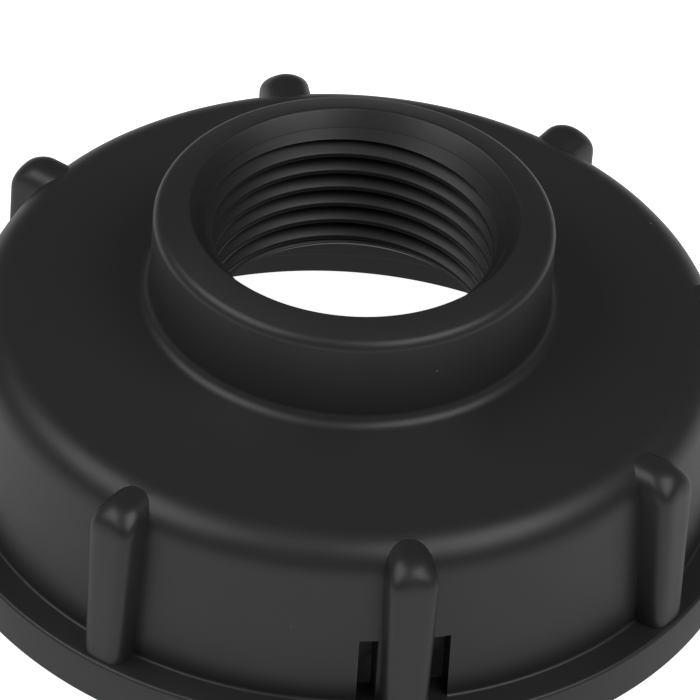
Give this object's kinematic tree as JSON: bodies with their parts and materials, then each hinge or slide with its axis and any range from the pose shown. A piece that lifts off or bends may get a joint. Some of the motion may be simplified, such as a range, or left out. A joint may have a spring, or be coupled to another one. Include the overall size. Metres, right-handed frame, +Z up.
{
  "type": "threaded tap adapter",
  "caption": "Black moulded screw cap with grip ribs, a base flange and a threaded central boss, that fits a hose tap to a bulk container's outlet valve.",
  "frame": {"origin": "centre of the underside of the base flange", "axes": "+Z up along the bore's axis out of the boss, -Y through the grip rib between the two windows"},
  "size_m": [0.0712, 0.0712, 0.0314],
  "materials": {
    "black_polypropylene": "satin, moulded",
    "black_rubber": "dull, smooth"
  },
  "bodies": {
    "root": {"adapter_body": "black_polypropylene", "gasket": "black_rubber"}
  },
  "joints": []
}
